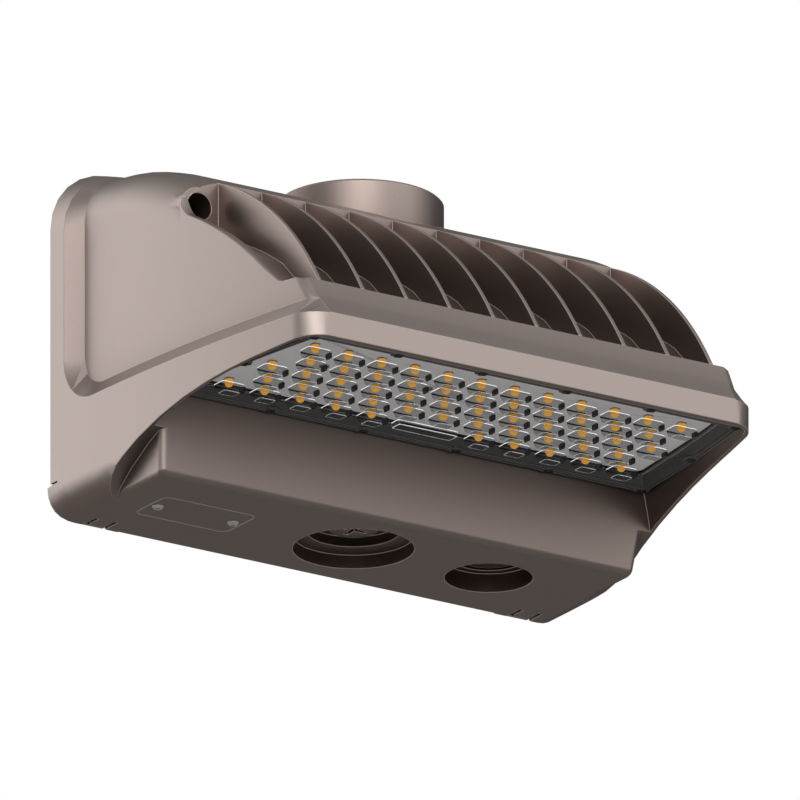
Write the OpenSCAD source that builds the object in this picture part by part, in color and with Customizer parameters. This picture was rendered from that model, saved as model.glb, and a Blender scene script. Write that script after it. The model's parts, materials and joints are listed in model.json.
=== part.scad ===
// Outdoor LED wall pack light: die-cast housing that swings down from its wall plate on two pins.
// X runs along the wall, -Y points away from it and Z is up.
// The origin is the middle of the wall plate's bolt pattern, in the plane of the wall.
// Depths (d) are counted from the housing's rear rim, and heights (z) from its bottom face.

/* [Body] */
// Width across the wall flange
body_w = 360; // [350:2:372]
// Height of the wall flange
body_h = 220; // [214:1:228]
// Depth from the rear rim to the front band
body_d = 244; // [240:1:250]
// Depth of the flange's straight edge
flange_d = 14.4; // [12:0.2:16]
// Inset of the upper body behind its shoulder
inset = 9; // [8:0.25:10]
// Fall of the flange's top over its depth
top_fall = 4.5; // [3:0.25:6]
// Radius of the flange's top corners
top_corner_r = 41; // [38:1:44]
// Radius of the flange's bottom corners
bottom_corner_r = 17.5; // [16:0.5:20]
// Radius of the long curve of each side in plan
side_r = 1130; // [1050:10:1250]
// Radius of the front corners in plan
front_r = 14.5; // [13.5:0.25:16]
// Height of the shoulder's outer edge
shoulder_z = 63.3; // [62.8:0.1:64.5]
// Rise of the shoulder
shoulder_rise = 11; // [10:0.1:12.5]
// Radius where the shoulder turns up along the flange
recess_r = 30; // [26:1:34]
// Height of the lip above the fascia
lip_z = 89.9; // [89:0.1:92]
// Distance of the lip's edge behind the front band
lip_in = 19; // [18:0.5:21]
// Fall of the cheeks' highest point below the flange's top
cheek_drop = 36.5; // [35:0.5:38]
// Wall of the casting
wall = 4; // [3.5:0.25:4.5]
// Thickness of the skirts' lower edge
skirt_t = 2.4; // [2:0.1:3]
// Height of the skirt's edge at the front
skirt_front_z = 48.9; // [47:0.1:49.2]
// Depth at which the skirt's edge leaves the bottom
skirt_start_d = 47; // [44:1:50]
// Height of the pads that meet the wall behind the rim
pad_h = 3; // [2.8:0.1:3.4]

/* [Fins] */
// Number of fins
fin_count = 10; // [8:1:12]
// Distance of the outer fins from the flange's sides
fin_side = 42.3; // [41:0.1:45]
// Thickness of a fin
fin_t = 2.4; // [2:0.1:3]
// Fall of the fins' highest point below the flange's top
fin_drop = 21; // [20:0.25:23]
// Depth of the wall behind the fins
fin_wall_d = 118; // [116:0.5:120]

/* [Lower box] */
// Depth of the box's bottom face
box_d = 98; // [96:0.5:100]
// Distance of the box's bottom face from the flange's sides
box_side = 14; // [12.5:0.5:16]
// Outward lean of the box's sides over its height
box_flare = 5; // [3:0.5:6]
// Forward lean of the box's front over its height
box_lean = 9; // [7:0.5:10]
// Rounding of the box's bottom edge
box_edge_r = 4.5; // [3:0.25:5]

/* [Optic] */
// Height of the optic plate's lower face
lens_z = 50.3; // [50:0.1:50.8]
// Thickness of the optic plate
lens_t = 4; // [3.6:0.1:4.2]
// Thickness of the gasket over the optic plate
lens_gasket_t = 1; // [0.8:0.1:1.2]
// Width of the optic plate's bolting rim
lens_rim = 11; // [10:0.25:12]
// Radius of one lens at its foot
dome_r = 7.4; // [6.6:0.1:7.8]
// Height of one lens
dome_h = 3.6; // [3:0.1:4]
// Side of one LED chip
chip_w = 4.7; // [4:0.1:5]
// Height of one LED chip
chip_h = 0.8; // [0.6:0.1:1]
// Number of LEDs in a full row
led_cols = 12; // [10:1:12]
// Number of LED rows
led_rows = 5; // [4:1:5]
// Distance of the front row's last LED from the bay's side
led_side_front = 28.2; // [26:0.1:30]
// Distance of the back row's last LED from the bay's side
led_side_back = 28; // [26:0.25:30]
// Distance of the front LED row from the bay's front
led_front_in = 33.1; // [31:0.1:34]
// Distance of the back LED row from the bay's rear
led_back_in = 20.6; // [20:0.1:22]
// Number of lens screws in each long row
lens_screws_n = 6; // [5:1:7]

/* [Collar] */
// Outer radius of the collar on top
collar_r = 49.5; // [48:0.25:50]
// Depth of the collar's axis
collar_d = 57.5; // [57:0.25:59]
// Fall of the collar's rim below the flange's top
collar_drop = 8.3; // [7:0.1:9]
// Wall of the collar
collar_wall = 6; // [5:0.25:7]
// Thickness of the blank cover in the collar
collar_cover_t = 4; // [3:0.25:4.5]

/* [Underside entries] */
// Depth of the row of entries under the box
entry_d = 50.5; // [49.5:0.25:51.5]
// Radius of the large entry's mouth
big_r = 35.9; // [34:0.25:37]
// Radius of the large entry's inner well
big_well_r = 27.2; // [26:0.25:28]
// Depth of the large entry's first step
big_step = 8.6; // [8:0.2:9]
// Depth of the large entry's floor
big_floor = 17; // [16:0.25:18]
// Distance of the small entry from the box's side
small_side = 71; // [68:0.5:73]
// Radius of the small entry's mouth
small_r = 26.1; // [25:0.25:27]
// Radius of the small entry's inner well
small_well_r = 20.7; // [20:0.25:21.5]
// Depth of the small entry's step
small_step = 11.7; // [11:0.2:12.5]
// Radius of the closing plug's thread
plug_r = 10.4; // [10:0.1:11]
// Radius of the closing plug's head
plug_head_r = 15; // [14:0.25:16]
// Thickness of the closing plug's head
plug_head_t = 4.4; // [4:0.1:5]

/* [Access cover] */
// Distance of the access cover's middle from the box's side
cover_side = 55; // [53:0.5:57]
// Length of the access cover
cover_l = 64; // [62:0.5:66]
// Width of the access cover
cover_w = 34; // [32:0.5:35]
// Thickness of the access cover
cover_t = 2; // [1.8:0.1:2.2]
// Corner radius of the access cover
cover_r = 5; // [4:0.25:6]
// Distance between the access cover's screws
cover_screw_gap = 52.8; // [51:0.2:54]
// Travel of a selector knob
knob_travel = 8; // [6:0.5:9]

/* [Wall plate] */
// Distance of the wall plate from the flange's sides
plate_side = 19; // [16:0.5:21]
// Distance of the wall plate from the flange's top and bottom
plate_end = 22; // [21:0.5:24]
// Thickness of the wall plate
plate_t = 2.5; // [2:0.1:2.6]
// Sideways spacing of the wall bolts
bolt_gap_x = 240; // [230:1:250]
// Upright spacing of the wall bolts
bolt_gap_z = 120; // [110:1:126]
// Radius of the wall bolt holes
bolt_r = 3.25; // [3:0.05:3.5]
// Spacing of the junction box screw holes
box_gap = 88.9; // [84:0.1:90]
// Radius of the wire opening
wire_r = 16; // [14:0.5:18]
// Distance of each hinge tab's middle from the wall plate's side
tab_in = 12; // [11.5:0.25:13]
// Width of a hinge tab
tab_w = 15; // [14:0.25:15.5]
// Radius of the hinge pins
pin_r = 2.5; // [2.2:0.05:2.6]
// Height of the hinge axis
hinge_z = 6.5; // [6.3:0.1:6.7]
// Depth of the hinge axis
hinge_d = 8; // [7.8:0.1:8.4]

/* [Tunnel screws] */
// Distance of each screw tunnel from the flange's side
tunnel_side = 27.7; // [27:0.1:28.5]
// Fall of the screw tunnels below the flange's top
tunnel_drop = 55.6; // [54:0.2:57]
// Radius of the screw tunnels
tunnel_r = 8.4; // [8:0.1:8.8]
// Depth of the tunnels' floor
tunnel_floor_d = 38; // [36:0.5:42]
// Radius of the tunnel screws' shanks
screw_r = 2.5; // [2.3:0.05:2.7]
// Distance that a tunnel screw drives in
screw_travel = 8; // [7:0.5:9]

/* [Driver] */
// Depth of the LED driver
driver_d = 38; // [34:0.5:40]
// Height of the LED driver
driver_h = 60; // [54:0.5:64]

/* [Hidden] */
over = 1;
arc_n = 6;
fine = 72;
run_gap = 0.08;
seat_gap = 0.3;
slip_gap = 0.5;

// Body, after its driving sizes
mount_z = body_h / 2;
lip_d = body_d - lip_in;
recess_top = shoulder_z + recess_r;
recess_end_d = flange_d + recess_r;
shoulder_top = shoulder_z + shoulder_rise;
fascia_foot_d = body_d - inset;
front_arc_d = body_d - front_r;
fascia_r = front_r - inset;
top_arc_d = flange_d - wall;
inner_top = body_h - inset;
cheek_foot_in = 18.7;
cheek_foot_d = lip_d - cheek_foot_in;
cheek_ease = 5;
cheek_arc_d = 7.5;
flare_run = 9;
flare_rise = 10.7;
cheek_edge_r = 2;
cheek_t = 5;
step_run = 0.5;
least_x = 0.5;
pad_in_share = 0.735;
pad_top_z = 19;
pad_wall = 3.5;
skirt_bend_share = [0.35, 0.76];
skirt_rise_share = [1, 0.9];
skirt_in_r = 8;
slot_z = pad_top_z + 0.4;
slot_h = 1.2;
slot_d = 7.5;
lip_wall = 4.5;

// Fins and the floor between them
fin_span = body_w - 2 * fin_side;
fin_arc_d = 30.4;
fin_root = 3;
floor_arc_d = 26.8;
floor_end_in = 7;
floor_end_d = lip_d - floor_end_in;
floor_step = 4.3;
floor_drop = 58.2;

// Lower box
box_half_w = body_w / 2 - box_side;
box_rear_d = 20;
box_rear_in = 6;
box_corner_r = 4.5;

// Bay for the optic plate, and the seats above it
bay_d0 = box_d + box_lean;
bay_d1 = body_d - lip_wall;
bay_in_front = 6;
bay_in_rear = 9;
bay_rear_r = 6;
bay_front_r = 5;
ledge_z = lens_z + lens_t + lens_gasket_t;
board_t = 1.6;
board_z = ledge_z + 2;
board_top = board_z + board_t;
chamber_z = board_top + wall;
lens_screw_in = 4.2;
lens_screw_r = 1.5;
lens_screw_l = 10;
lens_head_r = 3.2;
lens_head_h = 1.8;
lens_hollow_r = 3.9;
lens_skin = 1.2;
dome_top_share = 0.62;
middle_gap_n = 2;
board_screw_r = 1.5;
board_screw_steps = [-4.25, -1.25, 1.25, 4.25];
grommet_r = 6;
lead_r = 2.5;
grommet_lip = 1.5;
grommet_d = bay_d0 + lens_rim + grommet_r + grommet_lip + slip_gap;

// Driver chamber
cavity_half_w = box_half_w - wall - 1;
cavity_z0 = wall + 1;
cavity_low_r = 10;
fin_wall_back_d = fin_wall_d - wall;

// Collar
collar_gasket_t = 1;
collar_z = body_h - collar_drop;
collar_in_r = collar_r - collar_wall;
collar_floor_z = collar_z - collar_cover_t - collar_gasket_t;
collar_sink = 1.5;
collar_base_z = rear_z(collar_d + collar_r) - collar_sink;
collar_chamfer = 1.2;
collar_core_r = 38;
collar_screw_share = 0.83;
collar_screw_n = 3;
collar_screw_r = 1.6;
collar_post_r = 4.5;
collar_post_h = 9;

// Entries
small_x = box_half_w - small_side;
cup_t = 5;
big_ledge_in = 1.2;
big_ledge_rise = 2.1;
plug_seal_t = 1;
plug_slot_w = 3;
plug_slot_l = 18;
plug_slot_h = 2.4;
plug_l = 8;
plug_bevel = 1;
small_floor = small_step + 2.3;
small_hole_share = 0.67;
small_flange_share = 0.86;
small_flange_t = 1.6;
small_grip = 1.2;

// Access cover and selectors
cover_x = box_half_w - cover_side;
cover_gasket_t = 0.8;
cover_seat_z = cover_t + cover_gasket_t;
window_l = 40;
window_w = 20;
cover_post_r = 4;
cover_post_z = 12;
cover_screw_r = 1.5;
cover_screw_l = 8;
cover_head_r = 3.7;
cover_head_h = 1.6;
cross_w = 1;
cross_l = 4.2;
cross_h = 0.9;
selector_z = 12;
selector_t = 1.6;
selector_l = 40;
selector_w = 31;
post_gap_x = 34;
post_gap_d = 26;
post_r = 2;
slider_w = 7;
slider_h = 4.5;
slider_rim = 1.6;
knob_gap_d = 10;
knob_stem = 2;
knob_cap_l = 3.6;
knob_cap_w = 4.6;
knob_cap_h = 2;
slider_l = knob_stem + knob_travel + 2 * slip_gap + 2 * slider_rim;

// Wall plate and hinge
plate_w = body_w - 2 * plate_side;
plate_h = body_h - 2 * plate_end;
tab_x = plate_w / 2 - tab_in;
plate_back_d = -pad_h;
plate_front_d = plate_back_d + plate_t;
plate_corner_r = 12;
box_hole_r = 2.6;
ear_t = 2;
ear_r = 4.6;
barrel_half = tab_w / 2 - ear_t - seat_gap;
barrel_r = 4.4;
pin_head_r = 3.4;
pin_head_t = 1;
tab_foot_z = 1;
notch_side = 0.8;
notch_d = 3;
notch_top = 15;
slot_end_d = hinge_d + ear_r + 0.6;
hinge_pocket_z = 2.4;
gasket_out = hinge_z;
gasket_w = 5.4;
rim_z = gasket_out + gasket_w + slip_gap;
nut_r = 4.6;
nut_h = 4.2;

// Long screws
tunnel_x = body_w / 2 - tunnel_side;
tunnel_z = body_h - tunnel_drop;
screw_head_r = 4.4;
screw_head_h = 4;
screw_socket_r = 2;
screw_socket_h = 2.4;
washer_r = 5.2;
washer_t = 1.2;
tunnel_wall = 3.6;
tunnel_back_d = plate_front_d + nut_h + 1;
screw_l = tunnel_floor_d - tunnel_back_d - slip_gap + washer_t + screw_travel;

// Electrical pieces
surge_l = 22;
surge_d = 26;
surge_h = 32;
surge_ear = 8;
surge_ear_t = 2;
surge_gap = 2.3;
surge_x = tunnel_x - tunnel_r - tunnel_wall - surge_gap - surge_l / 2;
bracket_t = 2;
bracket_ear = 12;
bracket_h = 28;
driver_l = 2 * (surge_x - surge_l / 2 - surge_gap - bracket_ear);
driver_top_gap = 8;
driver_screw_r = 2;
driver_screw_l = 5;
driver_head_r = 3.6;
driver_head_h = 2.2;
terminal_l = 42;
terminal_d = 18;
terminal_h = 22;
terminal_x = -64;
terminal_z = 40;
terminal_n = 3;
terminal_bore_r = 2.4;
terminal_screw_r = 1.8;
terminal_screw_h = 4;
ground_x = 58;
ground_z = 50;
ground_r = 2;
ground_head_r = 4.5;
ground_head_h = 2.6;
ground_washer_r = 6;
ground_washer_t = 1;

bronze = [0.42, 0.36, 0.33];
zinc = [0.66, 0.68, 0.7];
rubber = [0.1, 0.1, 0.1];

// Puts what is drawn from the rim and the bottom face into the light's own frame
module placed() { translate([0, -pad_h, -mount_z]) children(); }

// A block between two places on each axis
module block(x, d, z) {
    translate([x[0], -d[1], z[0]]) cube([x[1] - x[0], d[1] - d[0], z[1] - z[0]]);
}

// A round bar along the depth, from d[0] to d[1]
module bar_d(x, z, r, d, r_end = undef) {
    translate([x, -d[0], z]) rotate([90, 0, 0])
        cylinder(h = d[1] - d[0], r1 = r, r2 = is_undef(r_end) ? r : r_end, $fn = fine);
}

// An upright round bar, from z[0] to z[1]
module bar_z(x, d, r, z, r_end = undef) {
    translate([x, -d, z[0]])
        cylinder(h = z[1] - z[0], r1 = r, r2 = is_undef(r_end) ? r : r_end, $fn = fine);
}

// A round bar along X, from x[0] to x[1]
module bar_x(d, z, r, x) {
    translate([x[0], -d, z]) rotate([0, 90, 0]) cylinder(h = x[1] - x[0], r = r, $fn = fine);
}

// An outline of depths and heights, drawn out along X about the middle
module side_prism(outline, w) {
    rotate([90, 0, 90]) translate([0, 0, -w / 2])
        linear_extrude(w) polygon([for (p = outline) [-p[0], p[1]]]);
}

// An outline of X and depths, drawn up from z[0] to z[1]
module plan_prism(outline, z) {
    translate([0, 0, z[0]]) linear_extrude(z[1] - z[0]) polygon([for (p = outline) [p[0], -p[1]]]);
}

// An outline of X and heights, drawn forward from d[0] to d[1]
module front_prism(outline, d) {
    translate([0, -d[0], 0]) rotate([90, 0, 0]) linear_extrude(d[1] - d[0]) polygon(outline);
}

// Points of an arc from one angle to another
function arc(c, r, a0, a1, n = arc_n) =
    [for (k = [0:n]) let (a = a0 + (a1 - a0) * k / n) [c[0] + r * cos(a), c[1] + r * sin(a)]];

// A rectangle with its own radius below and above
function round_box(x, y, low_r, top_r) = concat(
    arc([x[1] - low_r, y[0] + low_r], low_r, -90, 0), arc([x[1] - top_r, y[1] - top_r], top_r, 0, 90),
    arc([x[0] + top_r, y[1] - top_r], top_r, 90, 180), arc([x[0] + low_r, y[0] + low_r], low_r, 180, 270));

// The right half of an outline, completed by its mirror image
function mirrored(half) = concat(half, [for (k = [len(half) - 1:-1:0]) [-half[k][0], half[k][1]]]);

// A closed skin through a row of rings with as many points each, clockwise as seen from past the last
module loft(rings) {
    n = len(rings[0]);
    m = len(rings);
    sides = [for (j = [0:m - 2], i = [0:n - 1]) let (a = j * n + i, b = j * n + (i + 1) % n)
        each [[a, b, b + n], [a, b + n, a + n]]];
    polyhedron(points = [for (ring = rings) each ring],
        faces = concat([[for (i = [n - 1:-1:0]) i]], sides, [[for (i = [0:n - 1]) (m - 1) * n + i]]));
}

function between(v, low, high) = min(max(v, low), high);
function eased(v, ease) = (v + sqrt(v ^ 2 + ease ^ 2)) / 2;
function bezier(a, b, c, d, t) =
    a * (1 - t) ^ 3 + b * 3 * t * (1 - t) ^ 2 + c * 3 * t ^ 2 * (1 - t) + d * t ^ 3;

// Half width of the full body, and of the upper body behind its shoulder
function inset_at(d) = between(d - flange_d, 0, inset);
function side_x(d) = body_w / 2 - side_r + sqrt(side_r ^ 2 - max(0, d - flange_d) ^ 2);
function outer_x(d) = side_x(d) - (d <= front_arc_d ? 0 :
    front_r - sqrt(front_r ^ 2 - (min(d, body_d - run_gap) - front_arc_d) ^ 2));
function upper_x(d) = d <= front_arc_d ? side_x(d) - inset_at(d) : side_x(d) - front_r
    + max(least_x, sqrt(max(0, (front_r - min(inset, body_d - d)) ^ 2 - (d - front_arc_d) ^ 2)));

// Heights of the shoulder's outer and inner edge
function low_z(d) = d <= flange_d ? recess_top - recess_r / 3 : d >= recess_end_d ? shoulder_z :
    recess_top - sqrt(recess_r ^ 2 - (recess_end_d - d) ^ 2);
function up_z(d) = d <= flange_d ? recess_top : d >= fascia_foot_d ? front_z(d) :
    d >= recess_end_d ? shoulder_top : recess_top - (recess_r - shoulder_rise * inset_at(d) / inset)
    * sqrt(max(0, 1 - ((recess_end_d - d) / (recess_r - inset_at(d))) ^ 2));

// Height on an arc that has its highest point at top = [d, z] and passes through foot = [d, z]
function arch_r(top, foot) = ((foot[0] - top[0]) ^ 2 + (top[1] - foot[1]) ^ 2) / (2 * (top[1] - foot[1]));
function arch_z(top, foot, d) = let (r = arch_r(top, foot)) top[1] - r + sqrt(r ^ 2 - (d - top[0]) ^ 2);

// Heights of the fins' edge, of the floor between them and of the top behind them
function fin_z(d) = arch_z([fin_arc_d, body_h - fin_drop], [lip_d, lip_z], d);
function floor_z(d) = arch_z([floor_arc_d, body_h - floor_drop], [floor_end_d, lip_z - floor_step], d);
function rear_z(d) = d <= flange_d ? body_h - top_fall * d / flange_d :
    d <= flange_d + inset ? inner_top + (inset - top_fall) * (flange_d + inset - d) / inset :
    arch_z([top_arc_d, inner_top], [fin_wall_d, fin_z(fin_wall_d)], d);

// Heights of the cheek, which flares at the fins' wall, and of the lip, fascia and front shoulder
function cheek_z(d) = arch_z([cheek_arc_d, body_h - cheek_drop], [cheek_foot_d, lip_z], d)
    + flare_rise * between(1 - (d - fin_wall_d) / flare_run, 0, 1) ^ 2;
function front_z(d) = d <= lip_d ? lip_z + eased(cheek_z(d) - lip_z, cheek_ease) :
    d <= fascia_foot_d ? lip_z - (d - lip_d) * (lip_z - shoulder_top) / (fascia_foot_d - lip_d) :
    shoulder_z + (body_d - d) * shoulder_rise / inset;
function edge_r(d) = cheek_edge_r
    + (fascia_r - cheek_edge_r) * between((d - cheek_foot_d) / (lip_d - cheek_foot_d), 0, 1);

// The top edge of one cross-section, from its side to its flat
function rear_edge(d) = let (r = top_corner_r - inset_at(d))
    [for (k = [0:arc_n]) [upper_x(d) - r + r * cos(90 * k / arc_n), rear_z(d) - r + r * sin(90 * k / arc_n)]];
function front_edge(d) = let (r = edge_r(d), x0 = min(upper_x(d) - least_x, side_x(d) - inset - r))
    [for (k = [0:arc_n]) let (x = x0 + (upper_x(d) - x0) * cos(90 * k / arc_n),
        e = between((x - x0) / r, 0, 1), ahead = min(d + r * (1 - sqrt(1 - e ^ 2)), max(d, fascia_foot_d)))
        [x, max(up_z(d) + slip_gap * (k + 1) / (arc_n + 1), front_z(ahead))]];

// One cross-section of the body at a depth
function section(d) = [for (p = mirrored(concat(
    arc([outer_x(d) - bottom_corner_r, bottom_corner_r], bottom_corner_r, -90, 0),
    [[outer_x(d), low_z(d)], [upper_x(d), up_z(d)]],
    d <= fin_wall_d ? rear_edge(d) : front_edge(d)))) [p[0], -d, p[1]]];

function steps(a, b, n) = [for (k = [1:n]) a + (b - a) * k / n];
body_stations = concat([0, flange_d], [for (k = [1:6]) flange_d + inset * (1 - cos(90 * k / 6))],
    steps(flange_d + inset, recess_end_d, 7), steps(recess_end_d, fin_wall_d, 5), [fin_wall_d + step_run],
    steps(fin_wall_d + step_run, fin_wall_d + flare_run, 4), steps(fin_wall_d + flare_run, cheek_foot_d, 7),
    steps(cheek_foot_d, lip_d, 5), steps(lip_d, fascia_foot_d, 4),
    [for (k = [1:4]) fascia_foot_d + inset * sin(90 * k / 4)]);

// What stays above the skirts' curved edge
skirt_edge = [for (k = [0:10]) let (run = body_d - skirt_start_d) [
    bezier(skirt_start_d, skirt_start_d + run * skirt_bend_share[0],
        skirt_start_d + run * skirt_bend_share[1], body_d, k / 10),
    bezier(0, skirt_front_z * skirt_rise_share[0], skirt_front_z * skirt_rise_share[1],
        skirt_front_z, k / 10)]];
keep_outline = concat([[-pad_h - over, -over], [skirt_start_d, -over]], skirt_edge,
    [[body_d + over, skirt_front_z], [body_d + over, body_h + over], [-pad_h - over, body_h + over]]);

module body_skin() {
    intersection() {
        loft([for (k = [len(body_stations) - 1:-1:0]) section(body_stations[k])]);
        side_prism(keep_outline, body_w + 2 * over);
    }
}

// The lower box: one ring of its plan at a height, drawn in by e
function box_ring(z, e) = let (
    lean = z / lens_z, w = box_half_w + box_flare * lean - e, front = box_d + box_lean * lean - e)
    [for (p = mirrored(concat([[w - box_rear_in, box_rear_d], [w, skirt_start_d]],
        arc([w - box_corner_r, front - box_corner_r], box_corner_r, 0, 90)))) [p[0], -p[1], z]];
module box_skin() {
    loft(concat([for (k = [0:4]) box_ring(box_edge_r * (1 - cos(90 * k / 4)),
        box_edge_r * (1 - sin(90 * k / 4)))], [box_ring(lens_z + slip_gap, 0)]));
}

// The bay's outline in plan, drawn in by e
function bay_x(d) = side_x(d) - bay_in_front
    - (bay_in_rear - bay_in_front) * (bay_d1 - d) / (bay_d1 - bay_d0);
function bay_ring(e) = let (d0 = bay_d0 + e, d1 = bay_d1 - e) mirrored(concat(
    arc([bay_x(d0) - e - bay_rear_r, d0 + bay_rear_r], bay_rear_r, -90, 0),
    [for (d = steps(d0 + bay_rear_r, d1 - bay_front_r, 5)) [bay_x(d) - e, d]],
    arc([bay_x(d1) - e - bay_front_r, d1 - bay_front_r], bay_front_r, 0, 90)));

// One cross-section of the space between the skirts, whose walls thicken up to the optic plate
function bay_section(d) = let (edge = side_x(d) - skirt_t, in = min(bay_x(d), edge))
    [for (p = mirrored([[edge, -over], [edge, lookup(d, skirt_edge)], [in, lens_z], [in, ledge_z]]))
        [p[0], -d, p[1]]];
module bay_cut() {
    corner_x = side_x(bay_d1) - skirt_t;
    intersection() {
        loft([for (k = [12:-1:0]) bay_section(box_d - 2 * over + (bay_d1 - box_d + 3 * over) * k / 12)]);
        side_prism([[box_d - over, -2 * over], [box_d, 0], [bay_d0, lens_z], [bay_d0, ledge_z + over],
            [bay_d1 + 2 * over, ledge_z + over], [bay_d1 + 2 * over, -2 * over]], body_w);
        plan_prism(mirrored(concat([[body_w / 2, box_d - 3 * over], [body_w / 2, bay_d1 - 2 * skirt_in_r]],
            arc([corner_x - skirt_in_r, bay_d1 - skirt_in_r], skirt_in_r, 0, 90))), [-3 * over, body_h]);
    }
    plan_prism(bay_ring(lens_rim), [ledge_z - over, board_top]);
}

// The driver chamber, open at the rear, with its wedge over the LEDs
chamber_outline = concat([[-over, rim_z], [wall, rim_z], [wall, cavity_z0], [box_d - wall, cavity_z0],
    [bay_d0 - wall, lens_z + wall], [bay_d0 - wall, chamber_z], [fascia_foot_d - 2 * wall, chamber_z]],
    [for (d = concat([floor_end_d - wall], [for (k = [1:8])
        floor_end_d - wall - (floor_end_d - wall - fin_wall_back_d) * k / 8])) [d, floor_z(d) - wall]],
    [[fin_wall_back_d, body_h], [-over, body_h]]);
chamber_stations = concat([-2 * over], steps(0, fin_wall_back_d, 6), [body_d]);
function chamber_ring(d) = [for (p = round_box([-cavity_half_w, cavity_half_w],
    [cavity_z0, rear_z(between(d, flange_d + inset, fin_wall_back_d)) - wall], cavity_low_r,
    top_corner_r - inset - wall)) [p[0], -d, p[1]]];
module chamber_cut() {
    intersection() {
        side_prism(chamber_outline, body_w);
        loft([for (k = [len(chamber_stations) - 1:-1:0]) chamber_ring(chamber_stations[k])]);
        plan_prism(mirrored([for (d = concat([-over], steps(0, fascia_foot_d - wall, 8)))
            [side_x(d) - inset - wall, d]]), [0, body_h]);
    }
    intersection() {
        bar_z(0, collar_d, collar_core_r, [collar_base_z - 2 * wall, collar_floor_z - wall]);
        block([-collar_core_r, collar_core_r], [0, fin_wall_back_d], [0, body_h]);
    }
}

// The channels between the cheeks, and the fins that stand in them
module channel_cut() {
    intersection() {
        side_prism(concat([[fin_wall_d, body_h]], [for (k = [0:8]) let (
            d = fin_wall_d + (floor_end_d - fin_wall_d) * k / 8) [d, floor_z(d)]],
            [[floor_end_d, body_h]]), body_w);
        plan_prism(mirrored([for (d = concat([fin_wall_d], steps(fin_wall_d, floor_end_d + over, 6)))
            [side_x(d) - inset - cheek_t, d]]), [shoulder_top, body_h]);
    }
}
module fins() {
    d0 = fin_wall_d - wall / 2;
    d1 = lip_d - least_x;
    outline = concat([for (k = [0:16]) let (d = d0 + (d1 - d0) * k / 16) [d, fin_z(d)]],
        [for (k = [8:-1:0]) let (d = d0 + (d1 - fin_root - d0) * k / 8) [d, floor_z(d) - fin_root]]);
    for (k = [0:fin_count - 1]) translate([(k / (fin_count - 1) - 1 / 2) * fin_span, 0, 0])
        side_prism(outline, fin_t);
}

// The pads behind the rim's lower corners
module pads() {
    swing_r = hinge_d + pad_h;
    low = [for (k = [0:arc_n]) let (a = -asin(hinge_z / swing_r) * (1 - k / arc_n))
        [hinge_d - swing_r * cos(a), hinge_z + swing_r * sin(a)]];
    intersection() {
        side_prism(concat([[step_run, 0]], low, [[-pad_h, pad_top_z], [step_run, pad_top_z]]), body_w);
        difference() {
            front_prism(flange_outline(0), [-pad_h, step_run]);
            front_prism(flange_outline(pad_wall), [-pad_h - over, step_run + over]);
            block([-body_w * pad_in_share / 2, body_w * pad_in_share / 2], [-pad_h - over, over],
                [-over, pad_top_z + over]);
        }
    }
}
function flange_outline(e) = round_box([e - body_w / 2, body_w / 2 - e], [e, body_h - e],
    bottom_corner_r - e, top_corner_r - e);

// Places of the lens screws: two long rows and one on each side
function lens_screw_row(d) = let (w = bay_x(d) - lens_screw_in)
    [for (k = [0:lens_screws_n - 1]) [(2 * k / (lens_screws_n - 1) - 1) * w, d]];
lens_screw_side_d = (bay_d0 + bay_d1) / 2;
lens_screw_places = concat(lens_screw_row(bay_d1 - lens_screw_in), lens_screw_row(bay_d0 + lens_screw_in),
    [for (s = [-1, 1]) [s * (bay_x(lens_screw_side_d) - lens_screw_in), lens_screw_side_d]]);

// Places of the LEDs: odd rows are full, even rows have one less, and the back row leaves its middle free
led_front_d = bay_d1 - led_front_in;
led_back_d = bay_d0 + led_back_in;
led_pitch_front = 2 * (bay_x(led_front_d) - led_side_front) / (led_cols - 1);
led_pitch_back = 2 * (bay_x(led_back_d) - led_side_back) / (led_cols - 1);
led_places = [for (r = [0:led_rows - 1]) let (share = r / (led_rows - 1),
    n = led_cols - r % 2, pitch = led_pitch_front + (led_pitch_back - led_pitch_front) * share)
    for (k = [0:n - 1]) if (r < led_rows - 1 || abs(k - (n - 1) / 2) * 2 > middle_gap_n)
        [(k - (n - 1) / 2) * pitch, led_front_d + (led_back_d - led_front_d) * share]];

led_row_gap = (led_front_d - led_back_d) / (led_rows - 1);
board_screw_d = (led_front_d + led_back_d + led_row_gap) / 2;
board_screw_places = [for (step = board_screw_steps)
    [step * (led_pitch_front + led_pitch_back) / 2, board_screw_d]];

tunnel_sides = [-1, 1];
cover_screw_places = [for (s = tunnel_sides) -cover_x + s * cover_screw_gap / 2];
collar_screw_places = [for (k = [0:collar_screw_n - 1]) let (a = 90 + 360 * k / collar_screw_n,
    r = collar_in_r * collar_screw_share) [r * cos(a), collar_d + r * sin(a)]];
bracket_hole_x = driver_l / 2 + bracket_ear / 2;
driver_z = rear_z(fin_wall_back_d) - wall - driver_top_gap - driver_h;
bracket_z = driver_z + driver_h - bracket_h;
surge_z = driver_z + driver_h - surge_h - surge_ear;
driver_screw_places = [for (s = tunnel_sides, t = tunnel_sides)
    [s * bracket_hole_x, bracket_z + bracket_h / 2 + t * bracket_h / 4]];
surge_screw_places = [for (t = tunnel_sides)
    [surge_x, surge_z + surge_h / 2 + t * (surge_h + surge_ear) / 2]];

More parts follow.
